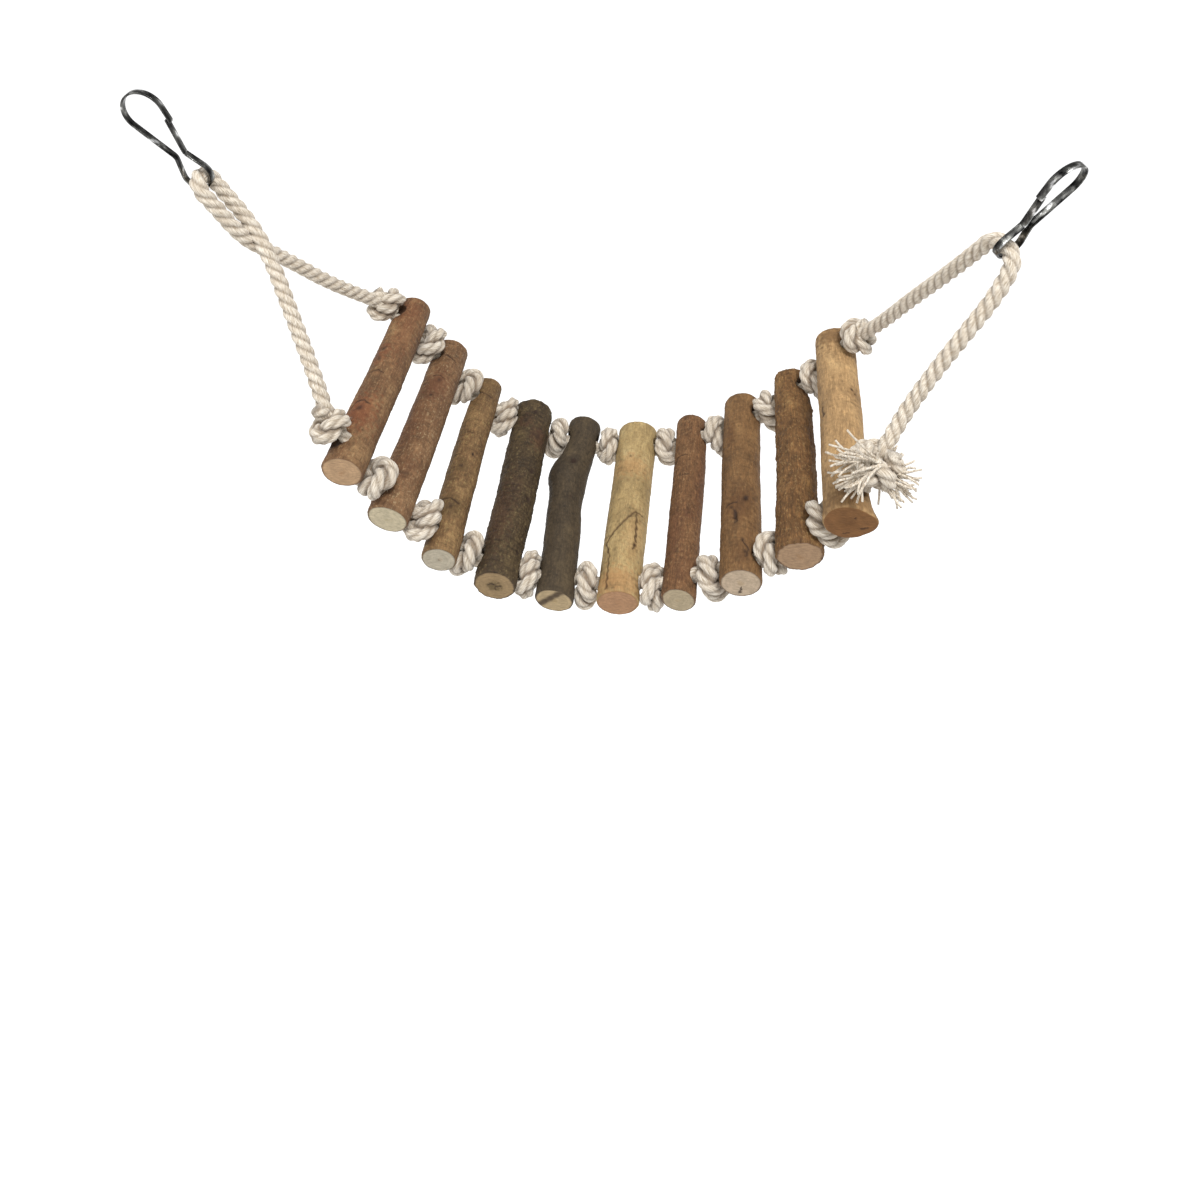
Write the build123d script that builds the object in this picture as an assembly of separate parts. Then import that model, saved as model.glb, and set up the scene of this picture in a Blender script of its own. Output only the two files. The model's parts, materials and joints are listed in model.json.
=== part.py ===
from build123d import *
import os
from math import acos, atan2, cos, degrees, hypot, pi, radians, sin, tan

# A small hanging rope ladder: ten natural branch rungs on one cotton rope, hung from a flat-wire
# spring hook at each end. Millimetres. X runs along the ladder, Y along the rungs, and Z is up.
# The origin is the centre of the left hook's round end, where a bar holds it.

# Rope
ROPE_D = 6.0
HOLE_D = 6.6
ROPE_INSET = 2.0             # a rung's own run of rope ends this deep inside its left hole mouths
ROW_Y = 40.0                 # the rope passes through each rung at y = -ROW_Y and y = +ROW_Y
KNOT_CLEARANCE = 1.1         # knot to rung, so that a gap can bend
KNOT_HALF_WIDTH = 7.0
OUTER_KNOT_HALF_LENGTH = 4.4
FRAYED_KNOT_HALF_LENGTH = 7.5
FRAYED_KNOT_HALF_WIDTH = 6.5

# Rungs, left to right: slope of the rope through the rung in degrees, length, near and far end
# diameters, how far the far end is off to the right of the near end, and the bow at mid-length
RUNGS = [
    dict(slope=-58, length=99.0, near_d=16.0, far_d=14.4, skew=1.2, bow=0.6),
    dict(slope=-58, length=101.0, near_d=16.3, far_d=15.0, skew=1.4, bow=0.5),
    dict(slope=-44, length=102.0, near_d=14.3, far_d=12.6, skew=-1.2, bow=-0.6),
    dict(slope=-22, length=101.5, near_d=17.2, far_d=17.4, skew=-1.4, bow=0.5),
    dict(slope=-6, length=100.5, near_d=15.6, far_d=15.4, skew=-0.8, bow=-2.4),
    dict(slope=8, length=97.0, near_d=17.5, far_d=18.0, skew=-0.5, bow=0.0),
    dict(slope=28, length=99.0, near_d=13.9, far_d=14.1, skew=0.5, bow=0.3),
    dict(slope=40, length=99.5, near_d=16.6, far_d=16.3, skew=-0.7, bow=-0.4),
    dict(slope=50, length=99.0, near_d=16.7, far_d=14.8, skew=-0.3, bow=0.4),
    dict(slope=63, length=101.0, near_d=16.4, far_d=16.4, skew=1.4, bow=0.5),
]
BOW_PEAK = 0.6               # the bow is greatest this share of the way to the far end
END_CHAMFER = 0.7
HOLE_REACH = 20.0            # half the length of the bar that cuts a hole
LIP = 1.6                    # the last rung's near end is cut askew and flares by this much
SECTIONS = 6                 # straight stretches along a rung

# Half of the space between two rungs, with the pivot of the gap at its middle. The first and the
# last are outside the end rungs, where the bridles begin.
HALF_GAPS = [5.6, 6.1, 6.4, 5.2, 4.5, 4.7, 5.2, 6.1, 5.7, 5.4, 5.5]
FIRST_PIVOT = (60.0, -105.0)  # x and z of the pivot outside the first rung

# Bridles: the rope's route from one outer knot, over the hook's eye and back to the other
LEFT_ROUTE = [
    (62.6, -40.0, -106.6),
    (60.6, -39.0, -102.0),
    (53.5, -28.0, -89.0),
    (43.0, -14.5, -71.0),
    (34.0, -3.0, -54.3),
    (27.5, 3.5, -42.6),
    (20.0, 6.0, -32.5),
    (13.5, 5.8, -24.1),
    (13.5, -5.8, -24.1),
    (18.5, -5.5, -35.0),
    (22.7, -2.0, -47.8),
    (27.8, 5.5, -57.6),
    (34.5, 13.5, -69.0),
    (43.5, 22.5, -84.5),
    (57.0, 38.5, -105.0),
    (62.6, 40.5, -109.5),
]
RIGHT_ROUTE = [
    (256.3, -40.0, -107.4),
    (258.6, -38.5, -96.8),
    (267.0, -24.0, -86.5),
    (276.0, -17.5, -68.5),
    (283.5, -13.5, -54.0),
    (290.0, -10.0, -41.5),
    (294.9, -4.5, -29.3),
    (288.9, 4.5, -26.7),
    (285.5, 8.5, -36.5),
    (279.0, 16.5, -54.0),
    (272.5, 24.5, -70.5),
    (266.0, 31.5, -87.5),
    (258.8, 39.0, -102.5),
    (256.3, 40.5, -107.4),
]
EYE_BEND = 5.5               # radius of the rope's centre line where it bends over a hook's eye
EYE_LOWEST = -30.0           # route points above this height are the bend over the eye
LEFT_NEAR_KNOT = (60.6, -39.5, -102.5)
LEFT_FAR_KNOT = (58.6, 39.5, -106.4)
RIGHT_FAR_KNOT = (258.8, 39.5, -102.6)
FRAYED_KNOT = (258.8, -38.6, -96.8)

# Frayed rope ends at the last knot: where each tuft's tip is
TUFT_TIPS = [(244.5, -43.0, -91.0), (245.0, -46.0, -97.5), (266.5, -42.0, -83.0), (275.5, -45.0, -101.5)]
TUFT_ROOT_SHARE = 0.25       # how far from the knot's centre to its tip a tuft starts
TUFT_ROOT_D = 5.0
TUFT_TIP_D = 10.0

# Spring hook, bent from one flat wire. In its own plane the round end is at the origin, the eye is
# below it, and the sprung limb (the gate) is on the +X side.
STRIP_THICKNESS = 0.7
STRIP_WIDTH = 2.6
LOOP_R = 7.3                 # radii are of the strip's middle
EYE_R = 5.2
EYE_DEPTH = 26.5             # from the round end's centre to the eye's
NECK_DEPTH = 17.9
NECK_HALF_WIDTH = 2.1
NECK_BEND = 1.5
NOSE_END = (6.2, -7.0)       # the nose overlaps the gate's tip on the outside
GATE_TIP = (5.5, -5.3)
GATE_GAP = 0.6               # between the neck and the moving part of the gate

LEFT_HOOK_AXIS = (-0.487, 0.0, 0.873)     # from the eye to the round end
LEFT_HOOK_SIDE = (0.873, 0.0, 0.487)      # towards the gate
RIGHT_HOOK_AXIS = (0.396, 0.0, 0.918)
RIGHT_HOOK_TURN = 36                      # degrees that the right hook is turned about its axis
RIGHT_EYE = (292.4, 0.0, -26.9)


def chain():
    """Each rung's centre and each pivot between rungs, as (x, z), walked from the left."""
    x, z = FIRST_PIVOT
    centres, pivots = [], [(x, z)]
    for rung, before, after in zip(RUNGS, HALF_GAPS, HALF_GAPS[1:]):
        along = cos(radians(rung["slope"])), sin(radians(rung["slope"]))
        radius = mean_radius(rung)
        x, z = x + along[0] * (radius + before), z + along[1] * (radius + before)
        centres.append((x, z))
        x, z = x + along[0] * (radius + after), z + along[1] * (radius + after)
        pivots.append((x, z))
    return centres, pivots


def mean_radius(rung):
    return (rung["near_d"] + rung["far_d"]) / 4


def radius_at(rung, share):
    """The rung's radius, share being 0 at its near end and 1 at its far end."""
    return (rung["near_d"] + (rung["far_d"] - rung["near_d"]) * share) / 2


def shift_at(rung, share):
    """How far the rung's middle line stands to the right of its centre."""
    bend = share / BOW_PEAK if share < BOW_PEAK else (1 - share) / (1 - BOW_PEAK)
    return rung["skew"] * (share - 0.5) + rung["bow"] * (1 - cos(pi * bend)) / 2


def surface_offset(rung, y, side):
    """How much further along the chain the rung's surface is at y than its mean radius says."""
    share = 0.5 + y / rung["length"]
    shift = shift_at(rung, share) * cos(radians(rung["slope"]))
    return shift + side * (radius_at(rung, share) - mean_radius(rung))


def along_rope(x, y, z, slope):
    """A place whose local X axis follows the rope through a rung."""
    return Location((x, y, z), (0, -slope, 0))


def rope_bar(start, end, diameter):
    """A straight round bar along local X."""
    return Location(((start + end) / 2, 0, 0), (0, 90, 0)) * Cylinder(diameter / 2, end - start)


def branch_rung(rung, centre, flared):
    """A tapered, slightly bowed branch with chamfered ends and a hole for each row of rope."""
    x, z = centre
    chamfer = END_CHAMFER / rung["length"]
    shares = [0, chamfer] + [i / SECTIONS for i in range(1, SECTIONS)] + [1 - chamfer, 1]
    circles = []
    for share in shares:
        radius = radius_at(rung, share) - (END_CHAMFER if share in (0, 1) else 0)
        shift = shift_at(rung, share)
        if flared and share <= chamfer:
            radius, shift = radius + LIP / 2, shift + LIP / 2
        place = Plane((x + shift, (share - 0.5) * rung["length"], z), x_dir=(1, 0, 0), z_dir=(0, 1, 0))
        circles.append(place * Circle(radius))
    body = loft(circles, ruled=True)
    for y in (-ROW_Y, ROW_Y):
        body -= along_rope(x, y, z, rung["slope"]) * rope_bar(-HOLE_REACH, HOLE_REACH, HOLE_D)
    return body


def rope_in_rung(rung, centre, last):
    """The rope's two short runs through one rung. On the right each comes out as far as the knot."""
    runs = []
    radius = mean_radius(rung)
    end = radius - ROPE_INSET if last else radius
    for y in (-ROW_Y, ROW_Y):
        place = along_rope(centre[0], y, centre[1], rung["slope"])
        runs.append(place * rope_bar(ROPE_INSET - radius, end, ROPE_D))
    return Compound(children=runs)


def knot_solid(half_length, half_width, stub=0.0):
    """A rounded knot turned about X, with a stub of rope of the given length on its left."""
    rope = ROPE_D / 2
    left = -half_length - stub
    crown = ThreePointArc((-half_length, rope), (0, half_width), (half_length, rope))
    corners = [(half_length, 0), (left, 0)] + ([(left, rope)] if stub else [])
    ends = Polyline(crown @ 1, *corners, crown @ 0)
    return revolve(make_face(crown.edges() + ends.edges()), Axis.X)


def gap_knot(number, pivot, y):
    """An overhand knot that fills the space to the right of a rung, with its stub of rope."""
    rung, following = RUNGS[number - 1], RUNGS[number]
    left, right = surface_offset(rung, y, 1), surface_offset(following, y, -1)
    middle = (left + right) / 2
    half_length = HALF_GAPS[number] + (right - left) / 2 - KNOT_CLEARANCE
    stub = HALF_GAPS[number] + middle - half_length
    place = along_rope(pivot[0], y, pivot[1], rung["slope"])
    return place * Location((middle, 0, 0)) * knot_solid(half_length, KNOT_HALF_WIDTH, stub)


def route_radii(points, tight):
    """The arc at each inner point of a route: as large as its runs allow, or the radius in tight."""
    radii = []
    for i in range(1, len(points) - 1):
        before = Vector(points[i]) - Vector(points[i - 1])
        after = Vector(points[i + 1]) - Vector(points[i])
        turn = radians(before.get_angle(after))
        largest = 0.45 * min(before.length, after.length) / tan(turn / 2)
        radii.append(tight.get(i, largest))
    return radii


def rope_tube(points):
    """A rope along straight runs joined by tangent arcs, the tight ones over the hook's eye."""
    eye = {i: EYE_BEND for i, point in enumerate(points) if point[2] > EYE_LOWEST}
    radii = route_radii(points, eye)
    path = FilletPolyline(*points, radius=radii)
    start = Plane(path @ 0, z_dir=path % 0)
    tube = sweep(start * Circle(ROPE_D / 2), path=path)
    ideal = pi * ROPE_D ** 2 / 4 * path.length
    print("rope length %.1f  volume over section times length %.4f" % (path.length, tube.volume / ideal))
    print("  arc radii", [round(r, 1) for r in radii])
    return tube


def outer_knot(place, slope, half_length, half_width, rope):
    """A knot tied round a bridle's end."""
    x, y, z = place
    return along_rope(x, y, z, slope) * knot_solid(half_length, half_width) - rope


def frayed_tufts(knot_solid):
    """The loosened strands of the two rope ends, as flared tufts round the last knot."""
    tufts = []
    for tip in TUFT_TIPS:
        out = Vector(tip) - Vector(FRAYED_KNOT)
        root = Plane(Vector(FRAYED_KNOT) + out * TUFT_ROOT_SHARE, z_dir=out)
        end = Plane(tip, z_dir=out)
        tuft = loft([root * Circle(TUFT_ROOT_D / 2), end * Circle(TUFT_TIP_D / 2)], ruled=True)
        tufts.append(tuft - knot_solid)
    return tufts


def tangent_angle(x, y, radius, side):
    """Where a line from (x, y) touches a circle at the origin, as an angle in degrees."""
    return degrees(atan2(y, x) + side * acos(radius / hypot(x, y)))


def on_circle(centre_y, radius, angle):
    return radius * cos(radians(angle)), centre_y + radius * sin(radians(angle))


def hook_path():
    """The middle line of the fixed strip: nose, round end, plain limb, neck, eye and other neck."""
    nose = tangent_angle(*NOSE_END, LOOP_R, 1)
    limb = tangent_angle(-NECK_HALF_WIDTH, -NECK_DEPTH, LOOP_R, -1)
    waist = EYE_DEPTH - NECK_DEPTH
    shoulder = tangent_angle(NECK_HALF_WIDTH, waist, EYE_R, -1)
    loop_start, loop_end = on_circle(0, LOOP_R, nose), on_circle(0, LOOP_R, limb)
    eye_right = on_circle(-EYE_DEPTH, EYE_R, shoulder)
    eye_left = (-eye_right[0], eye_right[1])
    neck = FilletPolyline(loop_end, (-NECK_HALF_WIDTH, -NECK_DEPTH), eye_left, radius=NECK_BEND)
    return Wire([
        *Line(NOSE_END, loop_start).edges(),
        *CenterArc((0, 0), LOOP_R, nose, limb % 360 - nose).edges(),
        *neck.edges(),
        *CenterArc((0, -EYE_DEPTH), EYE_R, 180 - shoulder, 180 + 2 * shoulder).edges(),
        *Line(eye_right, (NECK_HALF_WIDTH, -NECK_DEPTH)).edges(),
    ])


def gate_path():
    """The middle line of the sprung limb, from just above the neck to its tip inside the nose."""
    neck = Vector(NECK_HALF_WIDTH, -NECK_DEPTH)
    tip = Vector(*GATE_TIP)
    start = neck + (tip - neck).normalized() * GATE_GAP
    return Line(start, tip)


def strip(path):
    """Flat wire bent along a path in the XY plane, its width along Z."""
    start = Plane(path @ 0, x_dir=(0, 0, 1), z_dir=path % 0)
    return sweep(start * Rectangle(STRIP_WIDTH, STRIP_THICKNESS), path=path, transition=Transition.RIGHT)


def hook_planes():
    """The plane of each hook's strip, with its origin at the round end's centre."""
    axis, side = Vector(*LEFT_HOOK_AXIS), Vector(*LEFT_HOOK_SIDE)
    left = Plane((0, 0, 0), x_dir=side, z_dir=side.cross(axis))
    axis = Vector(*RIGHT_HOOK_AXIS)
    flat = Vector(axis.Z, 0, -axis.X)
    turn = radians(RIGHT_HOOK_TURN)
    side = (flat * cos(turn) + Vector(0, 1, 0) * sin(turn)) * -1
    right = Plane(Vector(*RIGHT_EYE) + axis * EYE_DEPTH, x_dir=side, z_dir=side.cross(axis))
    return left, right


def build():
    """Every node of the ladder, by name."""
    nodes = {}
    centres, pivots = chain()
    for i, rung in enumerate(RUNGS):
        number = i + 1
        last = number == len(RUNGS)
        nodes[f"rung_{number}"] = branch_rung(rung, centres[i], last)
        nodes[f"rope_in_rung_{number}"] = rope_in_rung(rung, centres[i], last)
        if not last:
            for row, y in (("near", -ROW_Y), ("far", ROW_Y)):
                nodes[f"{row}_knot_{number}"] = gap_knot(number, pivots[number], y)

    left_rope, right_rope = rope_tube(LEFT_ROUTE), rope_tube(RIGHT_ROUTE)
    first, last = RUNGS[0]["slope"], RUNGS[-1]["slope"]
    plain = OUTER_KNOT_HALF_LENGTH, KNOT_HALF_WIDTH
    frayed = FRAYED_KNOT_HALF_LENGTH, FRAYED_KNOT_HALF_WIDTH
    nodes["left_bridle_rope"] = left_rope
    nodes["right_bridle_rope"] = right_rope
    nodes["left_outer_near_knot"] = outer_knot(LEFT_NEAR_KNOT, first, *plain, left_rope)
    nodes["left_outer_far_knot"] = outer_knot(LEFT_FAR_KNOT, first, *plain, left_rope)
    nodes["right_outer_far_knot"] = outer_knot(RIGHT_FAR_KNOT, last, *plain, right_rope)
    nodes["frayed_knot"] = outer_knot(FRAYED_KNOT, last, *frayed, right_rope)
    whole_knot = along_rope(*FRAYED_KNOT, last) * knot_solid(*frayed)
    nodes["frayed_rope_ends"] = Compound(children=frayed_tufts(whole_knot + right_rope))

    for side, plane in zip(("left", "right"), hook_planes()):
        nodes[f"{side}_hook_body"] = plane * strip(hook_path())
        nodes[f"{side}_hook_gate"] = plane * strip(gate_path())
    return nodes


def main():
    os.makedirs("parts", exist_ok=True)
    for name, shape in build().items():
        shape.label = name
        export_step(shape, f"parts/{name}.step")


main()
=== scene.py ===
import json
from math import acos, atan2, cos, hypot, pi, radians, sin

import bpy
import numpy as np
from mathutils import Matrix, Vector, noise


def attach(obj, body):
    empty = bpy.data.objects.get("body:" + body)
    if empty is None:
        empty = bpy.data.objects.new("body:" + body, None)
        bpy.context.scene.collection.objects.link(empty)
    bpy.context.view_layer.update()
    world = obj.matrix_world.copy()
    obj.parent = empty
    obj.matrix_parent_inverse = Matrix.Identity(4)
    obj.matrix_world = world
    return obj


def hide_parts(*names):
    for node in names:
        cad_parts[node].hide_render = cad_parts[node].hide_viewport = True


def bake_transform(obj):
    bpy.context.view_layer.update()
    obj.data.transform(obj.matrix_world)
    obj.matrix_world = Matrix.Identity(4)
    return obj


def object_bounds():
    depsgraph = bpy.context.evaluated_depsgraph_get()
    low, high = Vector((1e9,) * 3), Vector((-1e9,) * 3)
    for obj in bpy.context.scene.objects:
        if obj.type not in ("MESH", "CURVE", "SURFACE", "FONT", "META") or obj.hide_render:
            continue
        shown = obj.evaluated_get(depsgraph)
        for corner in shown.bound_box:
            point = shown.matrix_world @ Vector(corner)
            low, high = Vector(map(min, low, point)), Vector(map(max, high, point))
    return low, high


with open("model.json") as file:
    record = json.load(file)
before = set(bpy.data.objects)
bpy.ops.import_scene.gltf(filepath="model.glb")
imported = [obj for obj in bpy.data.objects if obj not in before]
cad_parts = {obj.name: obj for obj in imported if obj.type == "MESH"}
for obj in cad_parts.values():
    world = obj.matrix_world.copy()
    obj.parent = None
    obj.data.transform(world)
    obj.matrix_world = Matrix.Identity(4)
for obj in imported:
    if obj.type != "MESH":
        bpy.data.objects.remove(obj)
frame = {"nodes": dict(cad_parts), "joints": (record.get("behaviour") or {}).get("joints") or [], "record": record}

# A small hanging rope ladder: ten natural branch rungs on one three-strand cotton rope, hung from a
# flat-wire spring hook at each end. Lengths in the code are millimetres in the row frame, as in the
# CAD model, and MM turns them into Blender's metres. X runs along the ladder, Y along the rungs.
MM = 0.001
CAD_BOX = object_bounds()


# ---- camera, floor and light

CAMERA_PLACE = (189.5, -289.7, 159.4)
CAMERA_PITCH, CAMERA_YAW, CAMERA_ROLL = 40.36, -6.49, 0.75   # degrees down, to the right and clockwise
CAMERA_LENS, CAMERA_SENSOR, CAMERA_SHIFT = 30.0, 36.0, -0.208
FLOOR_DROP = 900.0        # how far the floor is below the ladder
FLOOR_SIZE = 12000.0
FLOOR_GLOW, WORLD_GLOW = 0.62, 0.48
LIGHT_AIM = (150, 0, -110)
# name, place, size and watts
LIGHTS = [("key", (380, -260, 950), 420, 12.0), ("fill", (-500, -450, 600), 600, 3.0)]


def add_object(name, data):
    added = bpy.data.objects.new(name, data)
    bpy.context.scene.collection.objects.link(added)
    return added


def make_camera():
    data = bpy.data.cameras.new("camera")
    data.lens, data.sensor_width, data.shift_y = CAMERA_LENS, CAMERA_SENSOR, CAMERA_SHIFT
    camera = add_object("camera", data)
    pitch, yaw, roll = radians(CAMERA_PITCH), radians(CAMERA_YAW), radians(CAMERA_ROLL)
    forward = Vector((sin(yaw) * cos(pitch), cos(yaw) * cos(pitch), -sin(pitch)))
    level = Vector((cos(yaw), -sin(yaw), 0))
    up = level.cross(forward)
    right = level * cos(roll) + up * sin(roll)
    up = up * cos(roll) - level * sin(roll)
    turned = Matrix((right, up, -forward)).transposed().to_4x4()
    camera.matrix_world = Matrix.Translation(Vector(CAMERA_PLACE) * MM) @ turned
    bpy.context.scene.camera = camera


def make_light(name, place, size, power):
    data = bpy.data.lights.new(name, "AREA")
    data.shape, data.size, data.energy = "DISK", size * MM, power
    lamp = add_object(name, data)
    lamp.location = Vector(place) * MM
    aim = Vector(LIGHT_AIM) * MM - lamp.location
    lamp.rotation_mode = "QUATERNION"
    lamp.rotation_quaternion = aim.to_track_quat("-Z", "Y")


def make_stage():
    half = FLOOR_SIZE / 2 * MM
    z = CAD_BOX[0].z - FLOOR_DROP * MM
    mesh = bpy.data.meshes.new("floor")
    corners = [(x, y, z) for x, y in ((-half, -half), (half, -half), (half, half), (-half, half))]
    mesh.from_pydata(corners, [], [(0, 1, 2, 3)])
    material, graph = new_material("floor_white")
    graph.set(Base_Color=(0.95, 0.95, 0.95, 1), Roughness=0.9, Emission_Color=(1, 1, 1, 1),
              Emission_Strength=FLOOR_GLOW)
    mesh.materials.append(material)
    floor = add_object("floor", mesh)
    world = bpy.data.worlds.new("studio")
    world.use_nodes = True
    background = world.node_tree.nodes["Background"].inputs
    background["Color"].default_value = (1, 1, 1, 1)
    background["Strength"].default_value = WORLD_GLOW
    bpy.context.scene.world = world
    for light in LIGHTS:
        make_light(*light)
    bpy.context.scene.view_settings.view_transform = "Standard"


# ---- materials

def linear(red, green, blue):
    """A colour given in the usual 0 to 255 steps, as the linear values that shaders take."""
    steps = [c / 255 for c in (red, green, blue)]
    return tuple(s / 12.92 if s <= 0.04045 else ((s + 0.055) / 1.055) ** 2.4 for s in steps) + (1.0,)


def scaled(colour, factor):
    return tuple(min(1.0, c * factor) for c in colour[:3]) + (1.0,)


class Graph:
    """A material's nodes, with short ways to add and join them."""

    def __init__(self, tree):
        self.tree = tree
        self.shader = tree.nodes["Principled BSDF"]

    def add(self, kind, inputs=None, **settings):
        node = self.tree.nodes.new("ShaderNode" + kind)
        for name, value in settings.items():
            setattr(node, name, value)
        for name, value in (inputs or {}).items():
            self.put(node.inputs[name], value)
        return node

    def put(self, socket, value):
        if isinstance(value, bpy.types.NodeSocket):
            self.tree.links.new(value, socket)
        else:
            socket.default_value = value

    def set(self, **values):
        """Set the shader's inputs, with _ for each space in an input's name."""
        for name, value in values.items():
            self.put(self.shader.inputs[name.replace("_", " ")], value)

    def attribute(self, name, output="Fac"):
        return self.add("Attribute", attribute_name=name).outputs[output]

    def noise(self, vector, scale, detail=4.0, roughness=0.6, distortion=0.0, stretch=None):
        if stretch:
            vector = self.add("Mapping", {"Vector": vector, "Scale": stretch}).outputs["Vector"]
        found = self.add("TexNoise", {"Vector": vector, "Scale": scale, "Detail": detail,
                                      "Roughness": roughness, "Distortion": distortion})
        return found.outputs["Fac"]

    def ramp(self, factor, stops):
        """A colour ramp through (place, colour) stops."""
        node = self.add("ValToRGB", {"Fac": factor})
        elements = node.color_ramp.elements
        while len(elements) < len(stops):
            elements.new(0.5)
        for element, (place, colour) in zip(elements, stops):
            element.position, element.color = place, colour
        return node.outputs["Color"]

    def span(self, value, low, high, new_low=0.0, new_high=1.0):
        found = self.add("MapRange", {"Value": value, "From Min": low, "From Max": high,
                                      "To Min": new_low, "To Max": new_high})
        return found.outputs["Result"]

    def mix(self, factor, first, second):
        node = self.add("Mix", data_type="RGBA")
        self.put(node.inputs[0], factor)
        self.put(node.inputs[6], first)
        self.put(node.inputs[7], second)
        return node.outputs[2]

    def layered(self, colour, layers):
        """A colour under layers, each (value, where it starts, where it is full, strength, colour)."""
        for value, start, full, strength, layer in layers:
            colour = self.mix(self.span(value, start, full, 0, strength), colour, layer)
        return colour

    def maths(self, operation, first, second=0.0):
        node = self.add("Math", operation=operation)
        self.put(node.inputs[0], first)
        self.put(node.inputs[1], second)
        return node.outputs[0]

    def bump(self, height, strength, distance):
        found = self.add("Bump", {"Height": height, "Strength": strength, "Distance": distance * MM})
        self.set(Normal=found.outputs["Normal"])


def new_material(name):
    material = bpy.data.materials.new(name)
    material.use_nodes = True
    return material, Graph(material.node_tree)


def bark_material(name, look):
    """Bark: broad patches, fine specks and lengthwise streaks, darker in marks, with painted shade in the
    hollows of its relief and round the rope's holes. The attribute grain is the place on the rung in millimetres,
    its Y along the rung."""
    material, graph = new_material(name)
    grain = graph.attribute("grain", "Vector")
    bark = linear(*look["bark"])
    patches = graph.noise(grain, 0.14, 3.0, stretch=(1, 0.45, 1))
    across = graph.noise(grain, 0.5, 4.0, 0.65, stretch=(0.5, 2.2, 0.5))
    fibres = graph.noise(grain, 0.75, 5.0, 0.72, stretch=(2.6, 0.3, 2.6))
    flakes = graph.noise(grain, 0.95, 5.0, 0.75, 0.5, stretch=(1.2, 0.7, 1.2))
    pores = graph.noise(grain, 3.0, 2.0, 0.6, stretch=(1, 1.6, 1))
    colour = graph.ramp(patches, [(0.3, scaled(bark, 0.68)), (0.5, bark), (0.72, linear(*look["pale"]))])
    colour = graph.layered(colour, [
        (across, 0.46, 0.68, look["rings"], scaled(bark, 0.42)),
        (fibres, 0.52, 0.66, look["streaks"], scaled(bark, 2.0)),
        (fibres, 0.47, 0.34, look["streaks"], scaled(bark, 0.4)),
        (flakes, 0.55, 0.63, look["specks"], linear(*look["speck"])),
        (flakes, 0.44, 0.36, look["specks"], scaled(bark, 0.38)),
        (pores, 0.6, 0.72, 0.6, scaled(bark, 0.25)),
        (graph.attribute("tint"), 0, 1, 0.8, linear(*look["tint"])),
        # painted shade in the hollows of the bark's relief
        (graph.attribute("hollow_shade"), 0, 1, 0.75, scaled(bark, 0.28)),
        # real knots, pits and cracks, and the painted shade round the rope's holes
        (graph.attribute("mark_and_hole_shade"), 0, 1, 1, linear(*look["mark_and_hole_shade"])),
    ])
    graph.set(Base_Color=colour, Roughness=graph.span(patches, 0.3, 0.7, 0.62, 0.86),
              Specular_IOR_Level=0.35)
    fine = graph.maths("ADD", graph.maths("MULTIPLY", flakes, 0.8), graph.maths("MULTIPLY", across, 0.6))
    fine = graph.maths("ADD", fine, graph.maths("MULTIPLY", fibres, 0.7))
    graph.bump(fine, 0.85, 0.45)
    return material


def end_material(name, look):
    """A sawn end: growth rings round the pith, blotches, saw marks and a dark edge under the bark.
    The attribute grain is the place on the cut, and edge goes from 0 at the pith to 1 at the bark."""
    material, graph = new_material(name)
    grain = graph.attribute("grain", "Vector")
    edge = graph.attribute("edge")
    face = linear(*look["face"])
    wander = graph.noise(grain, 0.35, 3.0)
    out = graph.maths("ADD", edge, graph.maths("MULTIPLY", wander, 0.22))
    wave = graph.maths("SINE", graph.maths("MULTIPLY", out, look["ring_count"] * 2 * pi))
    ring_shade = graph.span(wave, 0.2, 1.0, 0, look["ring_depth"])
    blotch = graph.noise(grain, 0.3, 4.0, 0.7)
    near_heart = graph.maths("ADD", edge, graph.span(blotch, 0.3, 0.7, -0.25, 0.25))
    saw = graph.noise(grain, 1.1, 4.0, 0.72, stretch=(0.3, 1, 2.4))
    colour = graph.mix(ring_shade, scaled(face, 1.06), scaled(face, 0.74))
    colour = graph.layered(colour, [
        (blotch, 0.4, 0.62, 0.75, scaled(face, 0.74)),
        (near_heart, look["heart_size"], look["heart_size"] * 0.4, 0.85, linear(*look["heart"])),
        (saw, 0.5, 0.62, 0.55, scaled(face, 1.34)),
        (saw, 0.48, 0.36, 0.6, scaled(face, 0.6)),
        (edge, 0.925, 0.985, 0.7, linear(*look["rim"])),
        (graph.attribute("mark_and_hole_shade"), 0, 1, 1, linear(*look["mark_and_hole_shade"])),
    ])
    graph.set(Base_Color=colour, Roughness=0.8, Specular_IOR_Level=0.25)
    height = graph.maths("ADD", graph.maths("MULTIPLY", saw, 0.8), graph.maths("MULTIPLY", ring_shade, 0.6))
    graph.bump(height, 0.6, 0.25)
    return material


def cotton_material():
    """Undyed cotton: cream yarns that lie along the rope, with painted grey-brown shade between the strands.
    The attribute yarn is the place on the rope's skin, its Y along the rope, and the painted shade attribute is 1
    in a groove and where a knot's turns press together."""
    material, graph = new_material("cotton_cream")
    yarn = graph.attribute("yarn", "Vector")
    fibres = graph.noise(yarn, 2.6, 3.0, 0.6, stretch=(1, 0.16, 1))
    broad = graph.noise(yarn, 0.12, 3.0, 0.5)
    shades = [(0.34, linear(160, 143, 120)), (0.5, linear(211, 199, 181)), (0.66, linear(236, 229, 216))]
    colour = graph.layered(graph.ramp(fibres, shades), [
        (broad, 0.42, 0.68, 0.4, linear(194, 180, 161)),
        # painted shade in the rope's grooves and where a knot's turns press together
        (graph.attribute("painted_shade"), 0, 1, 0.78, linear(116, 95, 72)),
    ])
    graph.set(Base_Color=colour, Roughness=0.95, Specular_IOR_Level=0.15, Sheen_Weight=0.35,
              Sheen_Roughness=0.6, Sheen_Tint=(1.0, 0.97, 0.92, 1))
    graph.bump(fibres, 0.9, 0.5)
    return material


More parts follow.
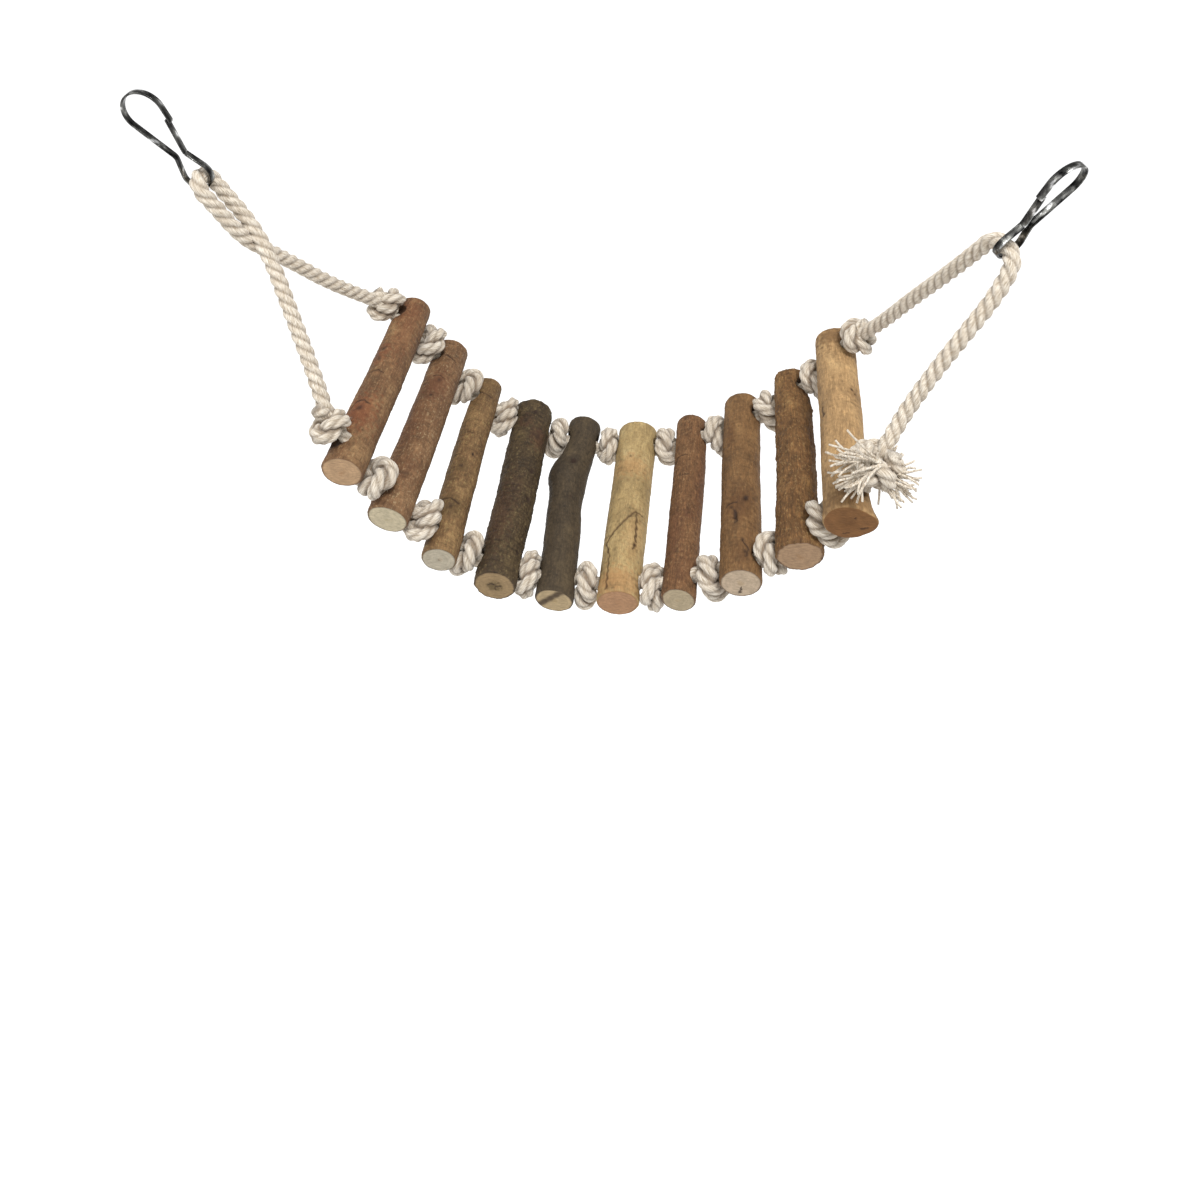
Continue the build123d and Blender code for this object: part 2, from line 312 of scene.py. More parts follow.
def steel_material():
    """Bright plated spring steel: painted reflections as dark and light bands in the base colour, and fine drawing
    lines.
    """
    material, graph = new_material("steel_plated")
    along = graph.attribute("strip", "Vector")
    lines = graph.noise(along, 1.6, 4.0, 0.6, stretch=(0.12, 5.0, 5.0))
    reflection_bands = graph.noise(along, 0.42, 3.0, 0.55, stretch=(0.5, 0.9, 0.9))
    # painted reflection: dark and light bands standing in for what mirror-like steel would reflect
    colour = graph.ramp(reflection_bands, [(0.36, linear(24, 24, 25)), (0.5, linear(82, 82, 80)),
                                (0.58, linear(120, 120, 116)), (0.68, linear(236, 236, 236))])
    graph.set(Base_Color=colour, Metallic=1.0, Roughness=graph.span(lines, 0.3, 0.7, 0.14, 0.3))
    graph.bump(lines, 0.25, 0.05)
    return material


# ---- meshes

def new_piece(name, points, faces, materials, face_materials=None, attributes=None):
    """A smooth-shaded mesh from points in millimetres, linked to the scene."""
    mesh = bpy.data.meshes.new(name)
    mesh.from_pydata((np.asarray(points) * MM).tolist(), [], faces)
    for material in materials:
        mesh.materials.append(material)
    mesh.polygons.foreach_set("use_smooth", [True] * len(mesh.polygons))
    if face_materials is not None:
        mesh.polygons.foreach_set("material_index", face_materials)
    for title, values in (attributes or {}).items():
        values = np.asarray(values, np.float32)
        kind, field = ("FLOAT_VECTOR", "vector") if values.ndim == 2 else ("FLOAT", "value")
        mesh.attributes.new(title, kind, "POINT").data.foreach_set(field, values.ravel())
    piece = add_object(name, mesh)
    return piece


def tube_faces(rings, around, start=0):
    """Faces of a tube made of rings of points, with one flat face on each end."""
    faces = []
    for i in range(rings - 1):
        low, high = start + i * around, start + (i + 1) * around
        faces += [(low + j, low + (j + 1) % around, high + (j + 1) % around, high + j) for j in range(around)]
    faces.append(tuple(start + j for j in reversed(range(around))))
    faces.append(tuple(start + (rings - 1) * around + j for j in range(around)))
    return faces


def unit(vectors):
    return vectors / np.linalg.norm(vectors, axis=-1, keepdims=True)


def wrapped(value, around=2 * pi):
    return (value + around / 2) % around - around / 2


def joint_named(name):
    return next(joint for joint in frame["joints"] if joint["name"] == name)


def resampled(points, step):
    """The same line with points a step apart."""
    points = np.asarray(points, float)
    along = np.concatenate([[0], np.cumsum(np.linalg.norm(np.diff(points, axis=0), axis=1))])
    at = np.linspace(0, along[-1], max(3, int(round(along[-1] / step)) + 1))
    return np.stack([np.interp(at, along, points[:, k]) for k in range(3)], axis=1)


def smoothed(points, times):
    points = np.array(points, float)
    for _ in range(times):
        points[1:-1] = (points[:-2] + 2 * points[1:-1] + points[2:]) / 4
    return points


def frames_along(points):
    """Two cross directions at each point of a line, turning as little as they can."""
    tangents = unit(np.gradient(points, axis=0))
    side = np.cross(tangents[0], (0.0, 0.0, 1.0))
    if np.linalg.norm(side) < 0.1:
        side = np.cross(tangents[0], (0.0, 1.0, 0.0))
    sides = []
    for tangent in tangents:
        side = unit(side - tangent * (side @ tangent))
        sides.append(side)
    sides = np.array(sides)
    return sides, np.cross(tangents, sides)


# ---- rope

ROPE_D = 6.0
STRANDS = 3
STRAND_OFFSET = 1.17          # from the rope's middle line to a strand's
STRAND_R = ROPE_D / 2 - STRAND_OFFSET
LAY_LENGTH = 13.5             # one turn of a strand round the rope
AROUND_ROPE = 42
ROPE_STEP = 0.6
UNEVEN = 0.03                 # how much thicker and thinner the rope gets
FUZZ_PER_MM = 2.5
FUZZ_LENGTHS = (0.6, 1.7)
FIBRE_D = 0.07
SAME_TURN = 8.0               # rope nearer than this along its line isn't another turn
CREVICE = 1.1                 # how far from another turn's skin a knot's skin gets painted shade
SQUEEZE_START, SQUEEZE_RUN = 3.0, 5.0   # where a knot begins to press its rope thinner


def rope_skin(line, lay_start=0.0, squeeze=1.0):
    """Points, faces and attributes of a left-laid three-strand rope along a line. A squeezed rope is
    thinner by that factor, except at its two ends."""
    line = resampled(line, ROPE_STEP)
    from_end = np.minimum(np.arange(len(line)), np.arange(len(line))[::-1]) * ROPE_STEP
    thinning = 1 + (squeeze - 1) * np.clip((from_end - SQUEEZE_START) / SQUEEZE_RUN, 0, 1)
    sides, ups = frames_along(line)
    along = np.arange(len(line)) * ROPE_STEP
    angles = np.linspace(0, 2 * pi, AROUND_ROPE, endpoint=False)
    lobe = 2 * pi / STRANDS
    points, yarn, painted_shade = [], [], []
    for i, middle in enumerate(line):
        twist = -2 * pi * (along[i] + lay_start) / LAY_LENGTH
        away = wrapped(angles - twist, lobe)
        radius = STRAND_OFFSET * np.cos(away) + np.sqrt(STRAND_R ** 2 - (STRAND_OFFSET * np.sin(away)) ** 2)
        uneven = noise.noise(Vector((along[i] * 0.35 + lay_start, 0.3, lay_start)))
        radius = radius * thinning[i] * (1 + UNEVEN * uneven)
        x, y = np.cos(angles), np.sin(angles)
        points.append(middle + np.outer(radius * x, sides[i]) + np.outer(radius * y, ups[i]))
        place = np.full(AROUND_ROPE, along[i] + lay_start)
        yarn.append(np.stack([ROPE_D / 2 * x, place, ROPE_D / 2 * y], axis=1))
        # painted shade in the grooves between the strands
        painted_shade.append(np.clip(np.abs(away) / (lobe / 2) * 2.8 - 1.8, 0, 1))
    points = np.concatenate(points)
    return points, tube_faces(len(line), AROUND_ROPE), np.concatenate(yarn), np.concatenate(painted_shade)


def with_crevices(skin, line):
    """A knot's skin, with painted shade where another turn of the same rope presses on it."""
    points, faces, yarn, painted_shade = skin
    line = resampled(line, ROPE_STEP)
    ring = np.arange(len(points)) // AROUND_ROPE
    apart = np.linalg.norm(points[:, None, :] - line[None, :, :], axis=2)
    same = np.abs(ring[:, None] - np.arange(len(line))[None, :]) * ROPE_STEP < SAME_TURN
    nearest = np.where(same, ROPE_D * 2, apart).min(axis=1)
    # painted shade where another turn of the rope lies close
    pressed = np.clip((ROPE_D / 2 + CREVICE - nearest) / CREVICE, 0, 1)
    return points, faces, yarn, np.maximum(painted_shade, pressed)


def fibre_skins(roots, directions, lengths, seed, thickness=FIBRE_D, curl=0.25, steps=5, around=3,
                taper=0.7):
    """Thin curled fibres or yarns that taper to their ends."""
    random = np.random.default_rng(seed)
    points, faces = [], []
    for root, direction, length in zip(roots, directions, lengths):
        direction = unit(direction)
        bend = random.normal(0, curl, 3)
        line, place = [], np.array(root, float)
        for _ in range(steps):
            line.append(place.copy())
            direction = unit(direction + bend / steps + random.normal(0, curl * 0.25, 3))
            place = place + direction * length / (steps - 1)
        sides, ups = frames_along(np.array(line))
        start = len(points)
        for k, middle in enumerate(line):
            radius = thickness / 2 * (1 - taper * k / (steps - 1))
            for corner in range(around):
                angle = 2 * pi * corner / around
                points.append(middle + radius * (sides[k] * cos(angle) + ups[k] * sin(angle)))
        faces += tube_faces(steps, around, start)
    return np.array(points), faces


def fuzz(skin, count, seed):
    """Loose fibre ends that stand off a rope's skin."""
    random = np.random.default_rng(seed)
    rings = skin.reshape(-1, AROUND_ROPE, 3)
    middles = rings.mean(axis=1)
    ring = random.integers(2, len(rings) - 3, count)
    corner = random.integers(0, AROUND_ROPE, count)
    roots = rings[ring, corner]
    out = unit(roots - middles[ring])
    along = unit(middles[ring + 1] - middles[ring])
    directions = out * random.uniform(0.25, 1.0, (count, 1)) + along * random.normal(0, 0.9, (count, 1))
    return fibre_skins(roots - out * 0.1, directions, random.uniform(*FUZZ_LENGTHS, count), seed + 1)


def joined(parts):
    """Several (points, faces, yarn, deep) skins as one."""
    faces, count = [], 0
    for part in parts:
        faces += [tuple(corner + count for corner in face) for face in part[1]]
        count += len(part[0])
    points, yarn, painted_shade = (np.concatenate([part[k] for part in parts]) for k in (0, 2, 3))
    return points, faces, yarn, painted_shade


def with_fuzz(skin, seed):
    points = skin[0]
    length = len(points) / AROUND_ROPE * ROPE_STEP
    hairs, faces = fuzz(points, int(length * FUZZ_PER_MM), seed)
    return joined([skin, (hairs, faces, hairs, np.zeros(len(hairs)))])


def rope_piece(name, skin, cotton):
    points, faces, yarn, painted_shade = skin
    return new_piece(name, points, faces, [cotton], attributes={"yarn": yarn, "painted_shade": painted_shade})


# ---- knots

KNOT_REACH = 15.0             # a knot's line starts and ends this far from its middle
KNOT_TOUCH = 4.3              # soft rope pressed together in a knot: middle line to middle line
KNOT_SQUEEZE = 0.88
KNOT_HALF = 2.4               # the rungs hold a gap's knot to this half width, at the middle line
KNOT_STEPS = 170
HOLE_SHARE = 3.0              # how far a knot's end reaches into a rung's hole
KNOT_END = 9.0                # a gap's knot ends this far from its middle, inside the rungs
SMALL_TOUCH, SMALL_SQUEEZE = 3.8, 0.8   # the outer knots are pulled tighter
WIDE_TOUCH, WIDE_HALF = 5.2, 5.5        # the frayed knot is looser
KNOT_EASE, KNOT_PULL, KNOT_PUSH = 0.08, 0.4, 0.25   # how strongly a step straightens, joins and parts
KNOT_SHRINK = 0.994           # how much shorter the knot's rope gets in a step
BEND_RUN = 10.0               # the rope turns from one rung's slope to the next over this length
GAP_SEED, OUTER_SEED, LEFT_SEED, RIGHT_SEED = 100, 300, 500, 520


def loose_overhand():
    """An overhand knot, pulled open: a long trefoil between two straight leads."""
    t = np.linspace(-1.95, 1.95, 120)
    x, y, z = (t ** 3 - 3 * t) * 2.6, (t ** 4 - 4 * t ** 2 + 2) * 2.4, (t ** 5 - 10 * t) * 0.9
    core = np.stack([x, y, z], axis=1)
    start, end = np.array([-KNOT_REACH, 0, 0]), np.array([KNOT_REACH, 0, 0])
    return np.concatenate([np.linspace(start, core[0], 12)[:-1], core, np.linspace(core[-1], end, 12)[1:]])


def tightened(line, touch, half_width, steps):
    """The knot pulled tight: the rope shortens, keeps clear of itself and stays between the rungs."""
    line = resampled(line, 1.3)
    count = len(line)
    index = np.arange(count)
    apart = np.abs(index[:, None] - index[None, :])
    rest = np.linalg.norm(np.diff(line, axis=0), axis=1).mean()
    for _ in range(steps):
        far_along = apart * rest > touch * 1.25
        for _ in range(8):
            line[1:-1] += KNOT_EASE * ((line[:-2] + line[2:]) / 2 - line[1:-1])
            runs = np.diff(line, axis=0)
            length = np.linalg.norm(runs, axis=1, keepdims=True)
            pull = runs * (1 - rest / length) * KNOT_PULL
            line[:-1] += pull
            line[1:] -= pull
            between = line[:, None] - line[None]
            distance = np.linalg.norm(between, axis=2) + 1e-9
            push = np.where(far_along & (distance < touch), (touch - distance) * KNOT_PUSH / distance, 0)
            line += np.clip((between * push[:, :, None]).sum(axis=1), -0.4, 0.4)
            line[6:-6, 1:] -= 0.04 * line[6:-6, 1:].mean(axis=0)
            loose = np.clip((np.hypot(line[:, 1], line[:, 2]) - 1.5) / 1.5, 0, 1)
            line[:, 0] += loose * (np.clip(line[:, 0], -half_width, half_width) - line[:, 0])
            line[0], line[-1] = (-KNOT_REACH, 0, 0), (KNOT_REACH, 0, 0)
            line[1, 1:] = line[-2, 1:] = 0
        if np.linalg.norm(np.diff(line, axis=0), axis=1).sum() < 1.02 * rest * (count - 1):
            rest *= KNOT_SHRINK
    return smoothed(resampled(line, ROPE_STEP), 4)


def turned_about_x(points, angle):
    c, s = cos(radians(angle)), sin(radians(angle))
    return points @ np.array([[1, 0, 0], [0, c, s], [0, -s, c]])


def slope_direction(slope):
    return np.array([cos(slope), 0.0, sin(slope)])


def bent_along(points, pivot, slope_before, slope_after, y):
    """Knot points, X along the rope, laid over a line that turns at the pivot between two rungs."""
    x = np.linspace(-KNOT_REACH - BEND_RUN / 2, KNOT_REACH + BEND_RUN / 2, 401)
    turn = np.clip((x + BEND_RUN / 2) / BEND_RUN, 0, 1)
    slope = slope_before + (slope_after - slope_before) * turn * turn * (3 - 2 * turn)
    step = x[1] - x[0]
    path_x, path_z = np.cumsum(np.cos(slope)) * step, np.cumsum(np.sin(slope)) * step
    path_x, path_z = path_x - path_x[len(x) // 2], path_z - path_z[len(x) // 2]
    local = np.interp(points[:, 0], x, slope)
    placed_x = pivot[0] + np.interp(points[:, 0], x, path_x) - np.sin(local) * points[:, 2]
    placed_z = pivot[1] + np.interp(points[:, 0], x, path_z) + np.cos(local) * points[:, 2]
    return np.stack([placed_x, y + points[:, 1], placed_z], axis=1)


def joint_pivot(name):
    place = joint_named(name)["pos_m"]
    return place[0] / MM, place[2] / MM


PIVOTS = [joint_pivot("left_bridle_swing")] + [joint_pivot(f"gap_{i}_bend") for i in range(1, 10)]
PIVOTS.append(joint_pivot("right_bridle_swing"))
SLOPES = [atan2(b[1] - a[1], b[0] - a[0]) for a, b in zip(PIVOTS, PIVOTS[1:])]
RUNG_COUNT = len(SLOPES)
ROW_Y = 40.0                  # the near row of knots is at y = -ROW_Y and the far one at +ROW_Y
# How far each gap's knot stands above the rope's line, and towards the near end
LATER_LIFTS = [(0.0, 0.0), (0.0, 0.0), (-0.6, 0.0), (-1.8, 0.0), (-1.8, 0.0), (-1.5, 0.0)]
NEAR_LIFTS = [(1.5, 1.0), (3.2, 1.0), (1.0, 0.0)] + LATER_LIFTS
FAR_LIFTS = [(0.5, 0.0), (0.0, 0.0), (0.0, 0.0)] + LATER_LIFTS


def lifted(points, up, near):
    """A knot's points moved off the rope's line, but not at its ends."""
    share = np.clip(1.45 - np.abs(points[:, 0]) / 4.4, 0, 1)
    return points + np.outer(share, (0, -near, up))


def make_gap_knots(cotton, overhands):
    """Between each two rungs, a near and a far stretch of rope with its knot."""
    random = np.random.default_rng(7)
    for gap in range(1, RUNG_COUNT):
        for row, y, lifts in (("near", -ROW_Y, NEAR_LIFTS), ("far", ROW_Y, FAR_LIFTS)):
            line = overhands[(gap + (row == "far")) % len(overhands)]
            line = turned_about_x(line, random.uniform(0, 360))
            line = lifted(line[np.abs(line[:, 0]) < KNOT_END], *lifts[gap - 1])
            before, after = SLOPES[gap - 1], SLOPES[gap]
            line = bent_along(line, PIVOTS[gap], before, after, y)
            skin = with_crevices(rope_skin(line, random.uniform(0, LAY_LENGTH), KNOT_SQUEEZE), line)
            skin = with_fuzz(skin, GAP_SEED + gap * 2 + (row == "far"))
            piece = rope_piece(f"rope_{row}_knot_{gap}", skin, cotton)
            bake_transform(piece)
            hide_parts(f"{row}_knot_{gap}")


# ---- bridles

# The rope's routes over the two hooks' eyes, from the knots at the outer rungs. They follow the CAD
# model's, but the left one's legs lie closer together near the eye, as in the photo.
LEFT_ROUTE = [
    (62.6, -40.0, -106.6), (60.6, -39.0, -102.0), (53.5, -28.0, -89.0), (43.0, -14.5, -71.0),
    (34.0, -3.0, -54.3), (26.4, 2.6, -43.2), (18.6, 4.4, -32.8), (13.5, 4.9, -24.1),
    (13.5, -4.9, -24.1), (19.4, -4.4, -34.4), (25.4, -3.2, -46.8), (29.2, 5.5, -57.8),
    (34.5, 13.5, -69.0), (43.5, 22.5, -84.5), (57.0, 38.5, -105.0), (62.6, 40.5, -109.5),
]
RIGHT_ROUTE = [
    (256.3, -40.0, -107.4), (258.6, -38.5, -96.8), (267.0, -24.0, -86.5), (276.0, -17.5, -68.5),
    (283.5, -13.5, -54.0), (290.0, -10.0, -41.5), (294.9, -4.5, -29.3), (288.9, 4.5, -26.7),
    (285.5, 8.5, -36.5), (279.0, 16.5, -54.0), (272.5, 24.5, -70.5), (266.0, 31.5, -87.5),
    (258.8, 39.0, -102.5), (256.3, 40.5, -107.4),
]
KNOT_LEAD = 7.5               # what is left of an outer knot's lead on the bridle's side
OUTER_KNOTS = [
    ("left_outer_near_knot", (60.6, -39.5, -102.5), "left_bridle", "rung_1", 35),
    ("left_outer_far_knot", (58.6, 39.5, -106.4), "left_bridle", "rung_1", 150),
    ("right_outer_far_knot", (258.8, 39.5, -102.6), "right_bridle", "rung_10", 80),
    ("frayed_knot", (258.8, -38.6, -96.8), "right_bridle", "rung_10", 250),
]


def smooth_route(points):
    """A NURBS line through a route's space, with the route's points as its control points."""
    curve = bpy.data.curves.new("route", "CURVE")
    curve.dimensions, curve.resolution_u = "3D", 24
    spline = curve.splines.new("NURBS")
    spline.points.add(len(points) - 1)
    for point, place in zip(spline.points, points):
        point.co = (*place, 1)
    spline.order_u = 3
    spline.use_endpoint_u = True
    holder = bpy.data.objects.new("route", curve)
    mesh = bpy.data.meshes.new_from_object(holder)
    line = np.array([v.co for v in mesh.vertices])
    bpy.data.objects.remove(holder)
    bpy.data.curves.remove(curve)
    bpy.data.meshes.remove(mesh)
    return line


def make_bridle(side, route, cotton, seed):
    line = smooth_route(route)
    skin = with_fuzz(rope_skin(line), seed)
    piece = rope_piece(f"{side}_bridle", skin, cotton)
    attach(piece, f"{side}_bridle")
    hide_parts(f"{side}_bridle_rope")


def make_outer_knots(cotton, overhand, wide):
    for k, (node, place, bridle, rung, turn) in enumerate(OUTER_KNOTS):
        left = bridle == "left_bridle"
        slope = SLOPES[0] if left else SLOPES[-1]
        frayed = node == "frayed_knot"
        line = turned_about_x(wide if frayed else overhand, turn)
        spare = int((KNOT_REACH - KNOT_LEAD) / ROPE_STEP)
        line = line[spare:] if left else line[:-spare]
        line = bent_along(line, (place[0], place[2]), slope, slope, place[1])
        skin = with_crevices(rope_skin(line, squeeze=1.0 if frayed else SMALL_SQUEEZE), line)
        skin = with_fuzz(skin, OUTER_SEED + k)
        piece = rope_piece(node.replace("knot", "rope_knot"), skin, cotton)
        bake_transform(piece)
        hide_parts(node)


# Frayed rope ends: where each tuft leaves the knot, where its middle points, how wide it fans out
# sideways and up, its yarns' length and number, and how many thin fibres go with each yarn
TUFTS = [
    ((256.5, -42.0, -93.5), (244.0, -46.0, -94.5), (0.3, 0.7), 17.0, 34, 0),
    ((255.5, -42.5, -95.0), (248.5, -48.0, -104.0), (0.2, 0.2), 15.0, 13, 0),
    ((255.5, -42.0, -90.5), (254.4, -43.0, -80.0), (0.05, 0.1), 12.0, 2, 0),
    ((263.0, -41.5, -99.0), (276.0, -44.0, -101.0), (0.2, 0.35), 13.5, 18, 1),
    ((262.0, -41.5, -100.5), (270.0, -45.0, -110.5), (0.2, 0.3), 13.5, 13, 1),
    ((262.5, -38.5, -97.0), (268.0, -41.0, -87.0), (0.25, 0.2), 9.5, 18, 0),
]
YARN_D = 1.0
TUFT_ROOT_R = 2.3
TUFT_INSIDE = 3.0             # how far inside the knot the yarns start
TUFT_SEED, YARN_SEED, THIN_SEED = 40, 60, 80


def make_tufts(cotton):
    skins = []
    for k, (root, tip, fan, length, count, thin_count) in enumerate(TUFTS):
        random = np.random.default_rng(TUFT_SEED + k)
        out = unit(np.subtract(tip, root))
        side = unit(np.cross(out, (0, 0, 1.0)))
        up = np.cross(side, out)
        angle = random.uniform(0, 2 * pi, count)
        share = np.sqrt(random.uniform(0, 1, count))
        across, rise = np.cos(angle) * share, np.sin(angle) * share
        roots = root - out * TUFT_INSIDE + (np.outer(across, side) + np.outer(rise, up)) * TUFT_ROOT_R
        directions = out + np.outer(across * fan[0], side) + np.outer(rise * fan[1], up)
        directions = directions * 1.6 + random.normal(0, 0.1, roots.shape)
        lengths = length * random.uniform(0.8, 1.12, count)
        points, faces = fibre_skins(roots, directions, lengths, YARN_SEED + k, YARN_D, curl=0.34,
                                    steps=10, around=7, taper=0.25)
        # the yarns take a small random share of the painted shade colour
        skins.append((points, faces, points * 0.6, random.uniform(0, 0.06, len(points))))
        for repeat in range(thin_count):
            spread = directions + random.normal(0, 0.2, roots.shape)
            thin, faces = fibre_skins(roots, spread, lengths * random.uniform(0.9, 1.2),
                                      THIN_SEED + 5 * k + repeat, FIBRE_D * 2.4, curl=0.6, steps=8)
            skins.append((thin, faces, thin * 0.4, np.zeros(len(thin))))
    piece = rope_piece("frayed_tufts", joined(skins), cotton)
    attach(piece, "right_bridle")
    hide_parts("frayed_rope_ends")


def make_inner_rope(number, cotton):
    """The rope inside a rung's two holes, between the ends of the knots beside it."""
    node = frame["nodes"][f"rope_in_rung_{number}"]
    points = np.array([vertex.co for vertex in node.data.vertices]) / MM
    along = slope_direction(SLOPES[number - 1])
    pivot = np.array([PIVOTS[number - 1][0], 0, PIVOTS[number - 1][1]])
    reach = (points - pivot) @ along
    skins = []
    for row in (-ROW_Y, ROW_Y):
        middle = pivot + (0, row, 0)
        ends = middle + np.outer((reach.min() + HOLE_SHARE, reach.max() - HOLE_SHARE), along)
        skins.append(rope_skin(ends))
    piece = rope_piece(f"rope_through_rung_{number}", joined(skins), cotton)
    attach(piece, f"rung_{number}")
    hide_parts(f"rope_in_rung_{number}")


# ---- hooks

STRIP_THICKNESS = 0.7
STRIP_WIDTH = 2.6
STRIP_CORNER = 0.18
LOOP_R = 7.3                  # radii are of the strip's middle
EYE_R = 5.2
EYE_DEPTH = 26.5              # from the round end's centre to the eye's
NECK_DEPTH = 17.9
NECK_HALF_WIDTH = 2.1
NECK_BEND = 1.1               # how far from its corner the neck's bend starts
NOSE_END = (6.2, -7.0)
GATE_TIP = (5.5, -5.3)
STRIP_STEP = 0.3
STRIP_END = 0.6, 0.94         # how much thinner and narrower the strip's cut ends are


def tangent_angle(x, y, radius, side):
    """Where a line from (x, y) touches a circle at the origin, in radians."""
    return atan2(y, x) + side * acos(radius / hypot(x, y))


def arc_points(centre_y, radius, start, end):
    count = max(4, int(abs(end - start) * radius / 0.35))
    angles = np.linspace(start, end, count)
    return np.stack([radius * np.cos(angles), centre_y + radius * np.sin(angles)], axis=1)


def rounded_corner(before, corner, after):
    """Points of a bend at a corner between two straight runs."""
    before, corner, after = (np.array(p, float) for p in (before, corner, after))
    start = corner + unit(before - corner) * NECK_BEND
    end = corner + unit(after - corner) * NECK_BEND
    t = np.linspace(0, 1, 9)[:, None]
    return (1 - t) ** 2 * start + 2 * t * (1 - t) * corner + t ** 2 * end


def hook_lines():
    """The strip's middle line in the hook's plane: the fixed part and the gate."""
    nose = tangent_angle(*NOSE_END, LOOP_R, 1)
    limb = tangent_angle(-NECK_HALF_WIDTH, -NECK_DEPTH, LOOP_R, -1) + 2 * pi
    shoulder = tangent_angle(NECK_HALF_WIDTH, EYE_DEPTH - NECK_DEPTH, EYE_R, -1)
    loop = arc_points(0, LOOP_R, nose, limb)
    eye = arc_points(-EYE_DEPTH, EYE_R, pi - shoulder, 2 * pi + shoulder)
    left_neck = rounded_corner(loop[-1], (-NECK_HALF_WIDTH, -NECK_DEPTH), eye[0])
    right_neck = rounded_corner(eye[-1], (NECK_HALF_WIDTH, -NECK_DEPTH), GATE_TIP)
    body = np.concatenate([[NOSE_END], loop, left_neck, eye, right_neck[:5]])
    gate = np.concatenate([right_neck[3:], [GATE_TIP]])
    return [resampled(np.pad(line, ((0, 0), (0, 1))), STRIP_STEP) for line in (body, gate)]


def strip_outline():
    """A rounded rectangle: the strip's thickness across and its width."""
    half_t, half_w = STRIP_THICKNESS / 2 - STRIP_CORNER, STRIP_WIDTH / 2 - STRIP_CORNER
    outline = []
    for quarter, (t, w) in enumerate(((1, 1), (-1, 1), (-1, -1), (1, -1))):
        for step in range(4):
            angle = pi / 2 * (quarter + step / 3)
            outline.append((t * half_t + STRIP_CORNER * cos(angle), w * half_w + STRIP_CORNER * sin(angle)))
    return np.array(outline)


def make_strip(name, line, origin, side, axis, normal, steel):
    outline = strip_outline()
    tangents = unit(np.gradient(line, axis=0))
    points, along = [], []
    for i, (middle, tangent) in enumerate(zip(line, tangents)):
        across = np.array((-tangent[1], tangent[0]))
        thin, narrow = STRIP_END if i in (0, len(line) - 1) else (1.0, 1.0)
        flat = middle[:2] + np.outer(outline[:, 0] * thin, across)
        placed = origin + np.outer(flat[:, 0], side) + np.outer(flat[:, 1], axis)
        points.append(placed + np.outer(outline[:, 1] * narrow, normal))
        along.append(np.stack([np.full(len(outline), i * STRIP_STEP), outline[:, 1], outline[:, 0]], axis=1))
    faces = tube_faces(len(line), len(outline))
    return new_piece(name, np.concatenate(points), faces, [steel],
                     attributes={"strip": np.concatenate(along)})


def make_hook(hand, steel):
    mount = next(m for m in frame["record"]["mounts"] if m["name"] == f"{hand}_hook_loop")
    origin = Vector(mount["pos_m"]) / MM
    normal = Vector(joint_named(f"{hand}_gate_flex")["axis"]).normalized()
    eye = Vector(joint_named(f"{hand}_hook_swing")["pos_m"]) / MM
    axis = (origin - eye).normalized()
    axis = (axis - normal * axis.dot(normal)).normalized()
    side = axis.cross(normal)
    body_line, gate_line = hook_lines()
    place = [np.array(v) for v in (origin, side, axis, normal)]
    body = make_strip(f"{hand}_hook_wire", body_line, *place, steel)
    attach(body, f"{hand}_hook")
    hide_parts(f"{hand}_hook_body")
    gate = make_strip(f"{hand}_hook_gate_wire", gate_line, *place, steel)
    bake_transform(gate)
    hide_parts(f"{hand}_hook_gate")


# ---- rungs

AROUND_RUNG = 126
RUNG_STEP = 0.45
CAP_RINGS = 15
RING_POINTS = 60              # a straight section of a CAD rung has more points than this
HOLE_R = 3.3
HOLE_DEPTH = 1.4
EDGE_ROUND = 0.8
END_TILT = 0.5                # how far a sawn end leans out at its rim
CAD_SMOOTHING = 260           # rounds of smoothing between a CAD rung's sections
LIP_TURN = 8                  # degrees round a rung's near end where its lip stands out most
